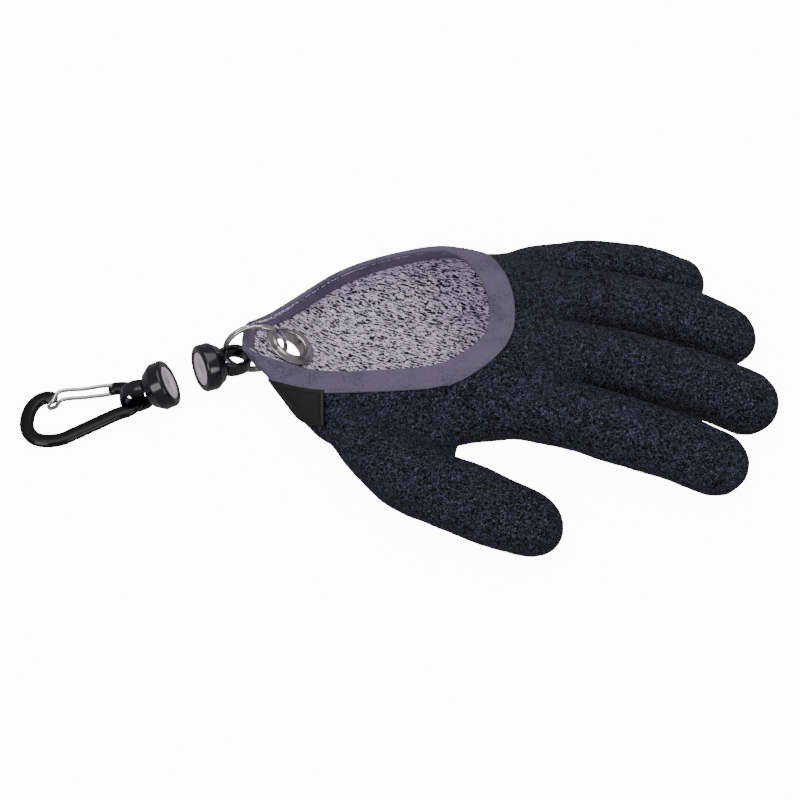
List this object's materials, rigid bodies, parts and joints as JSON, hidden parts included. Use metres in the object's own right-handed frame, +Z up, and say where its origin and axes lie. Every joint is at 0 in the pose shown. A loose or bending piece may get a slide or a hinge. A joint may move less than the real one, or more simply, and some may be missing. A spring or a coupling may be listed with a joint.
{
  "type": "fishing glove",
  "caption": "Latex coated glove lying palm down, with a bound opening over its back and an eyelet; a ring joins it to a magnetic clip with a small carabiner lying in line.",
  "frame": {"origin": "middle of the underside of the whole group, on the table", "axes": "+X from the carabiner towards the fingertips, +Y from the thumb towards the little finger, +Z up from the table"},
  "size_m": [0.3108, 0.1612, 0.0428],
  "materials": {
    "latex": "crinkled matt latex coat",
    "knit": "knitted melange cloth",
    "tape": "folded binding tape",
    "label_cloth": "plain woven label",
    "eyelet_metal": "pressed metal eyelet",
    "ring_steel": "polished steel wire",
    "holder_plastic": "glossy moulding",
    "nickel": "nickel plated disc",
    "anodised": "anodised aluminium"
  },
  "bodies": {
    "glove": {"palm_coat": "latex", "thumb_coat": "latex", "index_coat": "latex", "middle_coat": "latex", "ring_coat": "latex", "little_coat": "latex", "knit_liner": "knit", "edge_binding": "tape", "side_label": "label_cloth", "eyelet": "eyelet_metal", "split_ring": "ring_steel", "glove_magnet_cup": "holder_plastic", "glove_magnet": "nickel", "clip_magnet_cup": "holder_plastic", "clip_magnet": "nickel", "carabiner_body": "anodised"},
    "gate": {"carabiner_gate": "ring_steel"}
  },
  "joints": [
    {"name": "gate_hinge", "type": "hinge", "parent": "glove", "child": "gate", "pos_m": [-0.11885, 0.01127, 0.00523], "axis": [-0.054, -0.0659, 0.9964], "range_deg": [0, 25], "stiffness_Nm_per_rad": 0.002}
  ]
}
